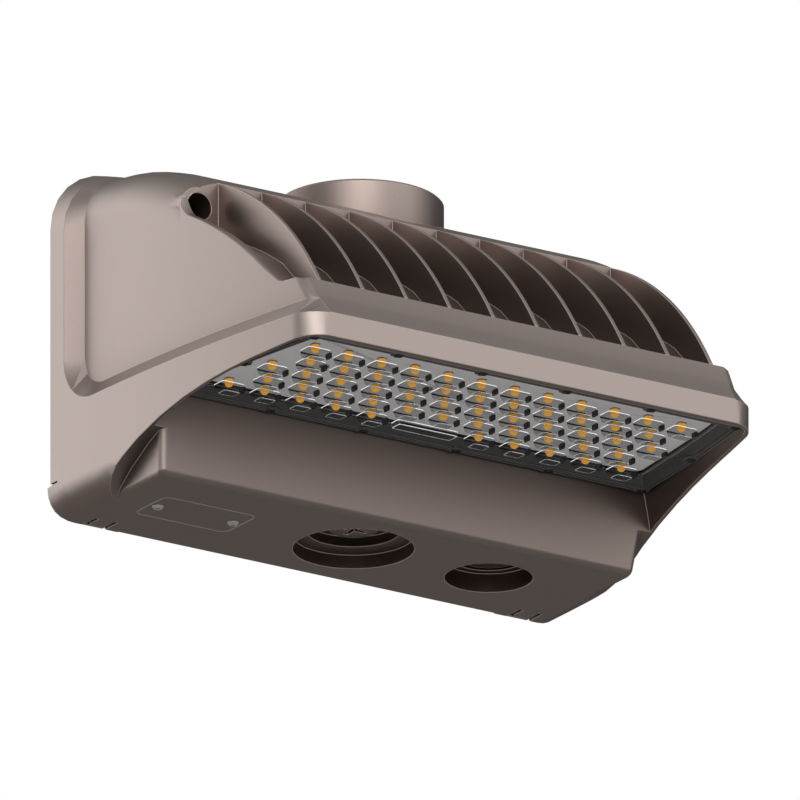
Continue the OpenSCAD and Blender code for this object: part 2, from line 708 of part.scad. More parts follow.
// Bosses that are cast inside the chamber
module bosses() {
    for (s = tunnel_sides) {
        bar_d(s * tunnel_x, tunnel_z, tunnel_r + tunnel_wall, [tunnel_back_d, fin_wall_d - step_run]);
        bar_x(hinge_d, hinge_z, barrel_r, [s * tab_x - barrel_half, s * tab_x + barrel_half]);
        block([s * tab_x - barrel_half, s * tab_x + barrel_half],
            [hinge_d - barrel_r + over, hinge_d + barrel_r], [0, hinge_z]);
    }
    bar_z(0, entry_d, big_r + wall, [0, big_floor + cup_t]);
    bar_z(small_x, entry_d, small_r + wall, [0, small_floor + wall]);
    for (x = cover_screw_places) bar_z(x, entry_d, cover_post_r, [cover_seat_z, cover_post_z]);
    for (p = collar_screw_places)
        bar_z(p[0], p[1], collar_post_r, [collar_floor_z - collar_post_h, collar_floor_z - over]);
}

// Openings at the hinge: room for the tab, the ears and the pin heads
module hinge_cut() {
    for (s = tunnel_sides) {
        block([s * tab_x - tab_w / 2 - notch_side, s * tab_x + tab_w / 2 + notch_side],
            [-pad_h - over, notch_d], [-over, notch_top]);
        difference() {
            block([s * tab_x - tab_w / 2 - pin_head_t - notch_side, s * tab_x + tab_w / 2 + pin_head_t
                + notch_side], [notch_d - over, slot_end_d], [hinge_pocket_z, notch_top]);
            block([s * tab_x - barrel_half, s * tab_x + barrel_half],
                [hinge_d - barrel_r + over, hinge_d + barrel_r], [0, hinge_z]);
            bar_x(hinge_d, hinge_z, barrel_r, [s * tab_x - barrel_half, s * tab_x + barrel_half]);
        }
        for (t = tunnel_sides) let (x = s * tab_x + t * (tab_w - ear_t) / 2)
            block([x - ear_t / 2 - seat_gap, x + ear_t / 2 + seat_gap], [notch_d - over, slot_end_d],
                [-over, notch_top]);
        bar_x(hinge_d, hinge_z, pin_r + run_gap, [s * tab_x - tab_w, s * tab_x + tab_w]);
    }
}

module housing() {
    color(bronze) placed() difference() {
        union() {
            difference() {
                union() {
                    difference() {
                        union() {
                            body_skin();
                            bar_z(0, collar_d, collar_r, [collar_base_z, collar_z - collar_chamfer]);
                            bar_z(0, collar_d, collar_r, [collar_z - collar_chamfer, collar_z],
                                collar_r - collar_chamfer);
                        }
                        bay_cut();
                        channel_cut();
                    }
                    box_skin();
                }
                chamber_cut();
            }
            fins();
            pads();
            bosses();
        }
        bar_z(0, collar_d, collar_in_r, [collar_floor_z, collar_z + over]);
        for (p = collar_screw_places)
            bar_z(p[0], p[1], collar_screw_r + run_gap, [collar_floor_z - collar_post_h + over, collar_z]);
        for (s = tunnel_sides) {
            bar_d(s * tunnel_x, tunnel_z, tunnel_r, [tunnel_floor_d, fin_wall_d + over]);
            bar_d(s * tunnel_x, tunnel_z, screw_r + seat_gap, [-over, tunnel_floor_d + over]);
        }
        bar_z(0, entry_d, big_r, [-over, big_step]);
        bar_z(0, entry_d, big_r - big_ledge_in, [big_step, big_step + big_ledge_rise], big_well_r);
        bar_z(0, entry_d, big_well_r, [big_step, big_floor]);
        bar_z(0, entry_d, plug_r + run_gap, [big_floor - over, big_floor + cup_t + over]);
        bar_z(small_x, entry_d, small_r, [-over, small_step]);
        bar_z(small_x, entry_d, small_well_r, [small_step - over, small_floor]);
        bar_z(small_x, entry_d, small_well_r * small_hole_share, [0, small_floor + wall + over]);
        plan_prism(cover_outline(-seat_gap), [-over, cover_seat_z]);
        block([-cover_x - window_l / 2, -cover_x + window_l / 2],
            [entry_d - window_w / 2, entry_d + window_w / 2], [0, cavity_z0 + over]);
        for (x = cover_screw_places)
            bar_z(x, entry_d, cover_screw_r + run_gap, [0, cover_post_z - over]);
        for (p = lens_screw_places)
            bar_z(p[0], p[1], lens_screw_r + run_gap, [ledge_z - over, lens_z + lens_screw_l + slip_gap]);
        for (p = board_screw_places)
            bar_z(p[0], p[1], board_screw_r + run_gap, [board_top - over, chamber_z + over]);
        bar_z(0, grommet_d, grommet_r, [board_top - over, chamber_z + over]);
        for (p = concat(driver_screw_places, surge_screw_places))
            bar_d(p[0], p[1], driver_screw_r + run_gap, [fin_wall_back_d - over, fin_wall_d - over]);
        for (s = tunnel_sides)
            block([s * body_w / 2 - wall, s * body_w / 2 + wall], [-over, slot_d], [slot_z, slot_z + slot_h]);
        hinge_cut();
    }
}
function cover_outline(e) = round_box([-cover_x - cover_l / 2 + e, -cover_x + cover_l / 2 - e],
    [entry_d - cover_w / 2 + e, entry_d + cover_w / 2 - e], cover_r - e, cover_r - e);

// The steel plate on the wall, with its tabs and hinge ears
module wall_plate() {
    low = mount_z - plate_h / 2;
    color(zinc) placed() difference() {
        union() {
            front_prism(round_box([-plate_w / 2, plate_w / 2], [low, low + plate_h],
                plate_corner_r, plate_corner_r), [plate_back_d, plate_front_d]);
            for (s = tunnel_sides) {
                block([s * tab_x - tab_w / 2, s * tab_x + tab_w / 2], [plate_back_d, plate_front_d],
                    [tab_foot_z, low + plate_corner_r]);
                for (t = tunnel_sides) let (x = s * tab_x + t * (tab_w - ear_t) / 2) {
                    bar_x(hinge_d, hinge_z, ear_r, [x - ear_t / 2, x + ear_t / 2]);
                    block([x - ear_t / 2, x + ear_t / 2], [plate_back_d, hinge_d],
                        [hinge_z - ear_r, hinge_z + ear_r]);
                }
            }
        }
        for (s = tunnel_sides) {
            bar_x(hinge_d, hinge_z, pin_r + run_gap, [s * tab_x - tab_w, s * tab_x + tab_w]);
            bar_d(s * box_gap / 2, mount_z, box_hole_r, [plate_back_d - over, plate_front_d + over]);
            bar_d(s * tunnel_x, tunnel_z, screw_r + run_gap, [plate_back_d - over, plate_front_d + over]);
            for (t = tunnel_sides) bar_d(s * bolt_gap_x / 2, mount_z + t * bolt_gap_z / 2, bolt_r,
                [plate_back_d - over, plate_front_d + over]);
        }
        bar_d(0, mount_z, wire_r, [plate_back_d - over, plate_front_d + over]);
        bar_d(ground_x, ground_z, ground_r + run_gap, [plate_back_d - over, plate_front_d + over]);
    }
}

// Foam strip behind the rim, open at the tabs
module wall_gasket() {
    color(rubber) placed() difference() {
        front_prism(flange_outline(gasket_out), [plate_back_d, 0]);
        front_prism(flange_outline(gasket_out + gasket_w), [plate_back_d - over, over]);
        for (s = tunnel_sides)
            block([s * tab_x - tab_w / 2 - notch_side - over, s * tab_x + tab_w / 2 + notch_side + over],
                [plate_back_d - over, over], [0, notch_top + over]);
    }
}

module plate_nuts() {
    color(zinc) placed() for (s = tunnel_sides) difference() {
        translate([s * tunnel_x, -plate_front_d, tunnel_z]) rotate([90, 0, 0])
            cylinder(h = nut_h, r = nut_r, $fn = 6);
        bar_d(s * tunnel_x, tunnel_z, screw_r + run_gap,
            [plate_front_d - over, plate_front_d + nut_h + over]);
    }
}

module ground_screw() {
    color([0.2, 0.5, 0.25]) placed() {
        bar_d(ground_x, ground_z, ground_r, [plate_back_d, plate_front_d]);
        bar_d(ground_x, ground_z, ground_washer_r, [plate_front_d, plate_front_d + ground_washer_t]);
        translate([ground_x, -plate_front_d - ground_washer_t, ground_z]) rotate([90, 0, 0])
            cylinder(h = ground_head_h, r = ground_head_r, $fn = 6);
    }
}

// Supply terminals with one wire bore and one clamp screw for each conductor
module terminal_block() {
    pitch = terminal_l / terminal_n;
    color("gray") placed() difference() {
        block([terminal_x, terminal_x + terminal_l], [plate_front_d, plate_front_d + terminal_d],
            [terminal_z, terminal_z + terminal_h]);
        for (k = [0:terminal_n - 1]) let (x = terminal_x + (k + 1 / 2) * pitch) {
            bar_z(x, plate_front_d + terminal_d / 2 - terminal_screw_r, terminal_bore_r,
                [terminal_z - over, terminal_z + terminal_h + over]);
            bar_d(x, terminal_z + terminal_h / 2, terminal_screw_r + run_gap,
                [plate_front_d + terminal_d - terminal_screw_h, plate_front_d + terminal_d + over]);
        }
    }
}
module terminal_screws() {
    pitch = terminal_l / terminal_n;
    color(zinc) placed() for (k = [0:terminal_n - 1])
        bar_d(terminal_x + (k + 1 / 2) * pitch, terminal_z + terminal_h / 2, terminal_screw_r,
            [plate_front_d + terminal_d - terminal_screw_h, plate_front_d + terminal_d - run_gap]);
}

module hinge_pins() {
    color(zinc) placed() for (s = tunnel_sides) {
        bar_x(hinge_d, hinge_z, pin_r, [s * tab_x - tab_w / 2 - run_gap, s * tab_x + tab_w / 2 + run_gap]);
        for (t = tunnel_sides) let (x = s * tab_x + t * (tab_w / 2 + run_gap))
            bar_x(hinge_d, hinge_z, pin_head_r, [min(x, x + t * pin_head_t), max(x, x + t * pin_head_t)]);
    }
}

// Long screw with a hex socket head, drawn backed out of its nut
module tunnel_screw(s) {
    seat = tunnel_floor_d + washer_t + screw_travel;
    color(zinc) placed() difference() {
        union() {
            bar_d(s * tunnel_x, tunnel_z, screw_head_r, [seat, seat + screw_head_h]);
            bar_d(s * tunnel_x, tunnel_z, screw_r, [seat - screw_l, seat + over]);
        }
        translate([s * tunnel_x, -seat - screw_head_h - over, tunnel_z]) rotate([-90, 0, 0])
            cylinder(h = screw_socket_h + over, r = screw_socket_r, $fn = 6);
    }
}
module tunnel_seal(s) {
    seat = tunnel_floor_d + screw_travel;
    color(rubber) placed() difference() {
        bar_d(s * tunnel_x, tunnel_z, washer_r, [seat, seat + washer_t]);
        bar_d(s * tunnel_x, tunnel_z, screw_r + run_gap, [seat - over, seat + washer_t + over]);
    }
}
module tunnel_screw_left() { tunnel_screw(-1); }
module tunnel_screw_right() { tunnel_screw(1); }
module tunnel_seal_left() { tunnel_seal(-1); }
module tunnel_seal_right() { tunnel_seal(1); }

// Blank cover in the collar
module collar_cover() {
    z0 = collar_floor_z + collar_gasket_t;
    color(bronze) placed() difference() {
        union() {
            bar_z(0, collar_d, collar_in_r - seat_gap, [z0, collar_z - collar_chamfer]);
            bar_z(0, collar_d, collar_in_r - seat_gap, [collar_z - collar_chamfer, collar_z],
                collar_in_r - seat_gap - collar_chamfer);
        }
        for (p = collar_screw_places) {
            bar_z(p[0], p[1], collar_screw_r + seat_gap, [z0 - over, collar_z + over]);
            bar_z(p[0], p[1], 2 * collar_screw_r + seat_gap, [collar_z - collar_screw_r, collar_z + over]);
        }
    }
}
module collar_gasket() {
    color(rubber) placed() difference() {
        bar_z(0, collar_d, collar_in_r - slip_gap, [collar_floor_z, collar_floor_z + collar_gasket_t]);
        bar_z(0, collar_d, collar_in_r * collar_screw_share - collar_post_r,
            [collar_floor_z - over, collar_floor_z + collar_gasket_t + over]);
        for (p = collar_screw_places) bar_z(p[0], p[1], collar_screw_r + seat_gap,
            [collar_floor_z - over, collar_floor_z + collar_gasket_t + over]);
    }
}
module collar_screws() {
    color(zinc) placed() for (p = collar_screw_places) {
        bar_z(p[0], p[1], collar_screw_r,
            [collar_floor_z - collar_post_h + 2 * over, collar_z - collar_screw_r + over / 2]);
        bar_z(p[0], p[1], 2 * collar_screw_r, [collar_z - collar_screw_r, collar_z]);
    }
}

// Driver on its bracket against the wall behind the fins
module led_driver() {
    color("silver") placed() block([-driver_l / 2, driver_l / 2],
        [fin_wall_back_d - bracket_t - driver_d, fin_wall_back_d - bracket_t], [driver_z, driver_z + driver_h]);
}
module driver_bracket() {
    w = driver_l / 2 + bracket_ear;
    color(zinc) placed() difference() {
        block([-w, w], [fin_wall_back_d - bracket_t, fin_wall_back_d], [bracket_z, bracket_z + bracket_h]);
        for (p = driver_screw_places)
            bar_d(p[0], p[1], driver_screw_r + seat_gap, [fin_wall_back_d - bracket_t - over, fin_wall_d]);
    }
}
module driver_screws() {
    back = fin_wall_back_d - bracket_t;
    color(zinc) placed() for (p = driver_screw_places) {
        bar_d(p[0], p[1], driver_screw_r, [back - over / 2, back + driver_screw_l]);
        bar_d(p[0], p[1], driver_head_r, [back - driver_head_h, back]);
    }
}
module surge_protector() {
    color("orange") placed() difference() {
        union() {
            block([surge_x - surge_l / 2, surge_x + surge_l / 2],
                [fin_wall_back_d - surge_d, fin_wall_back_d], [surge_z, surge_z + surge_h]);
            block([surge_x - surge_l / 2, surge_x + surge_l / 2], [fin_wall_back_d - surge_ear_t,
                fin_wall_back_d], [surge_z - surge_ear, surge_z + surge_h + surge_ear]);
        }
        for (p = surge_screw_places)
            bar_d(p[0], p[1], driver_screw_r + seat_gap, [fin_wall_back_d - surge_ear_t - over, fin_wall_d]);
    }
}
module surge_screws() {
    back = fin_wall_back_d - surge_ear_t;
    color(zinc) placed() for (p = surge_screw_places) {
        bar_d(p[0], p[1], driver_screw_r, [back - over / 2, back + driver_screw_l]);
        bar_d(p[0], p[1], driver_head_r, [back - driver_head_h, back]);
    }
}

// LED board with its chips, screws and grommet
module led_board() {
    color("lightgray") placed() difference() {
        plan_prism(bay_ring(lens_rim + slip_gap), [board_z, board_top]);
        for (p = board_screw_places)
            bar_z(p[0], p[1], board_screw_r + seat_gap, [board_z - over, board_top + over]);
        bar_z(0, grommet_d, lead_r, [board_z - over, board_top + over]);
    }
}
module led_chips() {
    color("gold") placed() for (p = led_places)
        block([p[0] - chip_w / 2, p[0] + chip_w / 2], [p[1] - chip_w / 2, p[1] + chip_w / 2],
            [board_z - chip_h, board_z]);
}
module board_screws() {
    color(zinc) placed() for (p = board_screw_places) {
        bar_z(p[0], p[1], board_screw_r, [board_z - over / 2, chamber_z]);
        bar_z(p[0], p[1], 2 * board_screw_r, [board_z - chip_h, board_z]);
    }
}
module lead_grommet() {
    color(rubber) placed() difference() {
        union() {
            bar_z(0, grommet_d, grommet_r - run_gap, [board_top, chamber_z]);
            bar_z(0, grommet_d, grommet_r + grommet_lip, [chamber_z, chamber_z + grommet_lip]);
        }
        bar_z(0, grommet_d, lead_r, [board_top - over, chamber_z + grommet_lip + over]);
    }
}

// Clear moulded plate with a lens under each LED
module optic_plate() {
    color("lightcyan", 0.5) placed() difference() {
        union() {
            plan_prism(bay_ring(seat_gap), [lens_z, lens_z + lens_t]);
            for (p = led_places) bar_z(p[0], p[1], dome_r * dome_top_share,
                [lens_z - dome_h, lens_z + over], dome_r);
        }
        for (p = led_places)
            bar_z(p[0], p[1], lens_hollow_r, [lens_z - dome_h + lens_skin, lens_z + lens_t + over]);
        for (p = lens_screw_places)
            bar_z(p[0], p[1], lens_screw_r + seat_gap, [lens_z - over, lens_z + lens_t + over]);
    }
}
module lens_gasket() {
    z = [ledge_z - lens_gasket_t, ledge_z];
    color(rubber) placed() difference() {
        plan_prism(bay_ring(slip_gap), z);
        plan_prism(bay_ring(lens_rim - slip_gap), [z[0] - over, z[1] + over]);
        for (p = lens_screw_places)
            bar_z(p[0], p[1], lens_screw_r + seat_gap, [z[0] - over, z[1] + over]);
    }
}
module lens_screws() {
    color("dimgray") placed() for (p = lens_screw_places) {
        bar_z(p[0], p[1], lens_screw_r, [lens_z - over / 2, lens_z + lens_screw_l]);
        bar_z(p[0], p[1], lens_head_r * dome_top_share, [lens_z - lens_head_h, lens_z], lens_head_r);
    }
}

// Access cover with its gasket and cross-head screws
module access_cover() {
    color(bronze) placed() difference() {
        plan_prism(cover_outline(0), [0, cover_t]);
        for (x = cover_screw_places)
            bar_z(x, entry_d, cover_screw_r + seat_gap, [-over, cover_t + over]);
    }
}
module access_gasket() {
    color(rubber) placed() difference() {
        plan_prism(cover_outline(seat_gap), [cover_t, cover_seat_z]);
        block([-cover_x - window_l / 2, -cover_x + window_l / 2],
            [entry_d - window_w / 2, entry_d + window_w / 2], [0, cover_seat_z + over]);
        for (x = cover_screw_places)
            bar_z(x, entry_d, cover_screw_r + seat_gap, [0, cover_seat_z + over]);
    }
}
module access_screws() {
    color("white") placed() for (x = cover_screw_places) difference() {
        union() {
            bar_z(x, entry_d, cover_screw_r, [-over / 2, cover_screw_l]);
            bar_z(x, entry_d, cover_head_r * dome_top_share, [-cover_head_h, 0], cover_head_r);
        }
        block([x - cross_l / 2, x + cross_l / 2], [entry_d - cross_w / 2, entry_d + cross_w / 2],
            [-cover_head_h - over, cross_h - cover_head_h]);
        block([x - cross_w / 2, x + cross_w / 2], [entry_d - cross_l / 2, entry_d + cross_l / 2],
            [-cover_head_h - over, cross_h - cover_head_h]);
    }
}

// Selector board over the window, on four posts, with two slide switches
module selector_board() {
    color("darkgreen") placed() {
        block([-cover_x - selector_l / 2, -cover_x + selector_l / 2],
            [entry_d - selector_w / 2, entry_d + selector_w / 2], [selector_z, selector_z + selector_t]);
        for (s = tunnel_sides) let (d = entry_d + s * knob_gap_d / 2) difference() {
            block([-cover_x - slider_l / 2, -cover_x + slider_l / 2], [d - slider_w / 2, d + slider_w / 2],
                [selector_z - slider_h, selector_z]);
            block([-cover_x - slider_l / 2 + slider_rim, -cover_x + slider_l / 2 - slider_rim],
                [d - knob_stem / 2 - seat_gap, d + knob_stem / 2 + seat_gap],
                [selector_z - slider_h - over, selector_z - seat_gap]);
        }
    }
}
module selector_posts() {
    color(zinc) placed() for (s = tunnel_sides, t = tunnel_sides)
        bar_z(-cover_x + s * post_gap_x / 2, entry_d + t * post_gap_d / 2, post_r, [cavity_z0, selector_z]);
}
module knob(s) {
    x = -cover_x - slider_l / 2 + slider_rim + slip_gap + knob_stem / 2;
    d = entry_d + s * knob_gap_d / 2;
    low = selector_z - slider_h - seat_gap;
    color("white") placed() {
        block([x - knob_stem / 2, x + knob_stem / 2], [d - knob_stem / 2, d + knob_stem / 2],
            [low - over / 2, selector_z - 2 * seat_gap]);
        block([x - knob_cap_l / 2, x + knob_cap_l / 2], [d - knob_cap_w / 2, d + knob_cap_w / 2],
            [low - knob_cap_h, low]);
    }
}
module power_knob() { knob(-1); }
module colour_knob() { knob(1); }

// Threaded plug with a crossed slot in the large entry
module entry_plug() {
    face = big_floor - plug_seal_t - plug_head_t;
    color(bronze) placed() difference() {
        union() {
            bar_z(0, entry_d, plug_head_r - plug_bevel, [face, face + plug_bevel], plug_head_r);
            bar_z(0, entry_d, plug_head_r, [face + plug_bevel, face + plug_head_t]);
            bar_z(0, entry_d, plug_r, [face + plug_head_t - over, face + plug_head_t + plug_l]);
        }
        block([-plug_slot_l / 2, plug_slot_l / 2], [entry_d - plug_slot_w / 2, entry_d + plug_slot_w / 2],
            [face - over, face + plug_slot_h]);
        block([-plug_slot_w / 2, plug_slot_w / 2], [entry_d - plug_slot_l / 2, entry_d + plug_slot_l / 2],
            [face - over, face + plug_slot_h]);
    }
}
module plug_seal() {
    color(rubber) placed() difference() {
        bar_z(0, entry_d, plug_head_r + slip_gap, [big_floor - plug_seal_t, big_floor]);
        bar_z(0, entry_d, plug_r + run_gap, [big_floor - plug_seal_t - over, big_floor + over]);
    }
}

// Push-in blank in the small entry
module small_plug() {
    hole = small_well_r * small_hole_share;
    color(bronze) placed() {
        bar_z(small_x, entry_d, small_well_r * small_flange_share,
            [small_floor - small_flange_t, small_floor]);
        bar_z(small_x, entry_d, hole - run_gap, [small_floor - over / 2, small_floor + wall + small_grip]);
    }
}

wall_plate();
wall_gasket();
plate_nuts();
ground_screw();
terminal_block();
terminal_screws();
hinge_pins();
housing();
tunnel_screw_left();
tunnel_screw_right();
tunnel_seal_left();
tunnel_seal_right();
collar_cover();
collar_gasket();
collar_screws();
led_driver();
driver_bracket();
driver_screws();
surge_protector();
surge_screws();
led_board();
led_chips();
board_screws();
lead_grommet();
optic_plate();
lens_gasket();
lens_screws();
access_cover();
access_gasket();
access_screws();
selector_board();
selector_posts();
power_knob();
colour_knob();
entry_plug();
plug_seal();
small_plug();
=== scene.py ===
import bpy, bmesh, json, math
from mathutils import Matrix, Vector
from mathutils.geometry import convex_hull_2d


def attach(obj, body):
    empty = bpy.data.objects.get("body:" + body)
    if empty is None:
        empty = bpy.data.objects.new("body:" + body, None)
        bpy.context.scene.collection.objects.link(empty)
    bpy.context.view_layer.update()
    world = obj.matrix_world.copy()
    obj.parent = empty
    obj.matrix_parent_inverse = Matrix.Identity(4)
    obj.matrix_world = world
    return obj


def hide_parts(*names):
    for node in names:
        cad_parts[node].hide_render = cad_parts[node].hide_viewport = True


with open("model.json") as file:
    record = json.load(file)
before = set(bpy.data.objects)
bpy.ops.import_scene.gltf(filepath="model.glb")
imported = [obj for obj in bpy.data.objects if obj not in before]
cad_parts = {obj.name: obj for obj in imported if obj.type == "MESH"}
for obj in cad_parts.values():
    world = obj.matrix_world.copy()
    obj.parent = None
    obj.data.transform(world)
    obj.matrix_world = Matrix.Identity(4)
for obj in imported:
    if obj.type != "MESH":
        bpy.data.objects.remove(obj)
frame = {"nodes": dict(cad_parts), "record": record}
nodes = frame["nodes"]
scene = bpy.context.scene
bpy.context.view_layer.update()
mm = 0.001

# Camera at the photograph's angle, without perspective. Its origin pixel shows the point in the
# housing's middle where the part's depths and heights begin, rimOut off the wall and bottomDown
# below the mount.
view = {"azimuth": -33.15, "elevation": -19.3, "width": 0.4706, "pxPerMm": 1.7,
        "originX": 306.5, "originY": 572.5, "middle": 400, "rimOut": 3, "bottomDown": 110,
        "distance": 2, "reach": 10}
azimuth, elevation = math.radians(view["azimuth"]), math.radians(view["elevation"])
back = Vector((math.sin(azimuth) * math.cos(elevation), -math.cos(azimuth) * math.cos(elevation),
               math.sin(elevation)))
right = Vector((math.cos(azimuth), math.sin(azimuth), 0))
up = back.cross(right)
camera = bpy.data.objects.new("camera", bpy.data.cameras.new("camera"))
scene.collection.objects.link(camera)
scene.camera = camera
camera.data.type = "ORTHO"
camera.data.ortho_scale = view["width"]
camera.data.clip_end = view["reach"]
origin = Vector((0, -view["rimOut"] * mm, -view["bottomDown"] * mm))
centre = (origin + right * (view["middle"] - view["originX"]) / view["pxPerMm"] * mm
          - up * (view["middle"] - view["originY"]) / view["pxPerMm"] * mm)
camera.location = centre + back * view["distance"]
camera.rotation_euler = back.to_track_quat("Z", "Y").to_euler()
print("camera placed")

# Shared shader effects: each group puts out only values or normals
effects = {"bevelSamples": 6, "grainDetail": 3, "grainHigh": 0.0002, "roughRange": 0.1,
           "dustScale": 60.0, "dustDetail": 5, "dustPower": 3.0, "dustColor": (0.5, 0.48, 0.44),
           "shadeSamples": 6, "shadeReach": 0.09, "shadePower": 3.0, "shadeTint": (0.36, 0.31, 0.28)}


def startGroup(name, inputs, outputs):
    tree = bpy.data.node_groups.new(name, "ShaderNodeTree")
    for label, value in inputs.items():
        socket = tree.interface.new_socket(label, in_out="INPUT", socket_type="NodeSocketFloat")
        socket.default_value = value
    for label, kind in outputs.items():
        tree.interface.new_socket(label, in_out="OUTPUT", socket_type=kind)
    return tree, tree.nodes.new("NodeGroupInput"), tree.nodes.new("NodeGroupOutput")


def mathNode(tree, operation, *values, clamp=False):
    node = tree.nodes.new("ShaderNodeMath")
    node.operation = operation
    node.use_clamp = clamp
    for socket, value in zip(node.inputs, values):
        if isinstance(value, (int, float)):
            socket.default_value = value
        else:
            tree.links.new(value, socket)
    return node.outputs[0]


def noiseOn(tree, scale, detail):  # a pattern that stays with the piece
    coords = tree.nodes.new("ShaderNodeTexCoord")
    noise = tree.nodes.new("ShaderNodeTexNoise")
    noise.inputs["Detail"].default_value = detail
    tree.links.new(coords.outputs["Object"], noise.inputs["Vector"])
    tree.links.new(scale, noise.inputs["Scale"])
    return noise.outputs["Fac"]


def roundedNormal(tree, radius):
    bevel = tree.nodes.new("ShaderNodeBevel")
    bevel.samples = effects["bevelSamples"]
    tree.links.new(radius, bevel.inputs["Radius"])
    return bevel.outputs["Normal"]


def makeGrain():  # rounded edges and a fine powder grain, as a normal and a value
    tree, start, end = startGroup("grain", {"Scale": 1500.0, "Depth": 0.2, "Edge": 0.0008},
                                  {"Normal": "NodeSocketVector", "Value": "NodeSocketFloat"})
    noise = noiseOn(tree, start.outputs["Scale"], effects["grainDetail"])
    bump = tree.nodes.new("ShaderNodeBump")
    bump.inputs["Distance"].default_value = effects["grainHigh"]
    tree.links.new(start.outputs["Depth"], bump.inputs["Strength"])
    tree.links.new(noise, bump.inputs["Height"])
    tree.links.new(roundedNormal(tree, start.outputs["Edge"]), bump.inputs["Normal"])
    tree.links.new(bump.outputs["Normal"], end.inputs["Normal"])
    tree.links.new(noise, end.inputs["Value"])
    return tree


def makeEdgeMask():  # 1 along edges, 0 on flat faces
    tree, start, end = startGroup("edge mask", {"Radius": 0.001, "Gain": 4.0}, {"Mask": "NodeSocketFloat"})
    geometry = tree.nodes.new("ShaderNodeNewGeometry")
    dot = tree.nodes.new("ShaderNodeVectorMath")
    dot.operation = "DOT_PRODUCT"
    tree.links.new(roundedNormal(tree, start.outputs["Radius"]), dot.inputs[0])
    tree.links.new(geometry.outputs["Normal"], dot.inputs[1])
    turned = mathNode(tree, "SUBTRACT", 1.0, dot.outputs["Value"])
    gained = mathNode(tree, "MULTIPLY", turned, start.outputs["Gain"], clamp=True)
    tree.links.new(gained, end.inputs["Mask"])
    return tree


def makeDust():  # patchy dust on faces that look up
    tree, start, end = startGroup("dust", {"Scale": 60.0, "Amount": 0.3}, {"Mask": "NodeSocketFloat"})
    noise = noiseOn(tree, start.outputs["Scale"], effects["dustDetail"])
    geometry = tree.nodes.new("ShaderNodeNewGeometry")
    split = tree.nodes.new("ShaderNodeSeparateXYZ")
    tree.links.new(geometry.outputs["Normal"], split.inputs[0])
    facingUp = mathNode(tree, "MAXIMUM", split.outputs["Z"], 0.0)
    patchy = mathNode(tree, "MULTIPLY", mathNode(tree, "POWER", facingUp, effects["dustPower"]), noise)
    dusty = mathNode(tree, "MULTIPLY", patchy, start.outputs["Amount"], clamp=True)
    tree.links.new(dusty, end.inputs["Mask"])
    return tree


def makeDepthShade():  # painted shade: 1 on open faces, less in deep channels and under ledges
    tree, start, end = startGroup("depth shade", {"Distance": 0.05, "Power": 2.0, "Amount": 0.8},
                                  {"Value": "NodeSocketFloat"})
    occlusion = tree.nodes.new("ShaderNodeAmbientOcclusion")
    occlusion.samples = effects["shadeSamples"]
    tree.links.new(start.outputs["Distance"], occlusion.inputs["Distance"])
    openness = mathNode(tree, "POWER", occlusion.outputs["AO"], start.outputs["Power"])
    hidden = mathNode(tree, "MULTIPLY", mathNode(tree, "SUBTRACT", 1.0, openness), start.outputs["Amount"])
    tree.links.new(mathNode(tree, "SUBTRACT", 1.0, hidden, clamp=True), end.inputs["Value"])
    return tree


grain, edgeMask, dust, depthShade = makeGrain(), makeEdgeMask(), makeDust(), makeDepthShade()


def newMaterial(name):
    material = bpy.data.materials.new(name)
    material.use_nodes = True
    return material, material.node_tree, material.node_tree.nodes["Principled BSDF"]


def seenOnly(tree, strength=1.0):  # painted light: for the camera's own rays only, so that a painted glow lights nothing round it
    path = tree.nodes.new("ShaderNodeLightPath")
    return mathNode(tree, "MULTIPLY", path.outputs["Is Camera Ray"], strength)


def useGroup(tree, group, **values):
    node = tree.nodes.new("ShaderNodeGroup")
    node.node_tree = group
    for label, value in values.items():
        node.inputs[label].default_value = value
    return node.outputs


def scaled(color, share):
    return tuple(c * share for c in color)


def mixColor(tree, factor, a, b):
    node = tree.nodes.new("ShaderNodeMix")
    node.data_type = "RGBA"
    tree.links.new(factor, node.inputs["Factor"])
    for socket, value in ((node.inputs[6], a), (node.inputs[7], b)):
        if isinstance(value, tuple):
            socket.default_value = (*value, 1)
        else:
            tree.links.new(value, socket)
    return node.outputs[2]


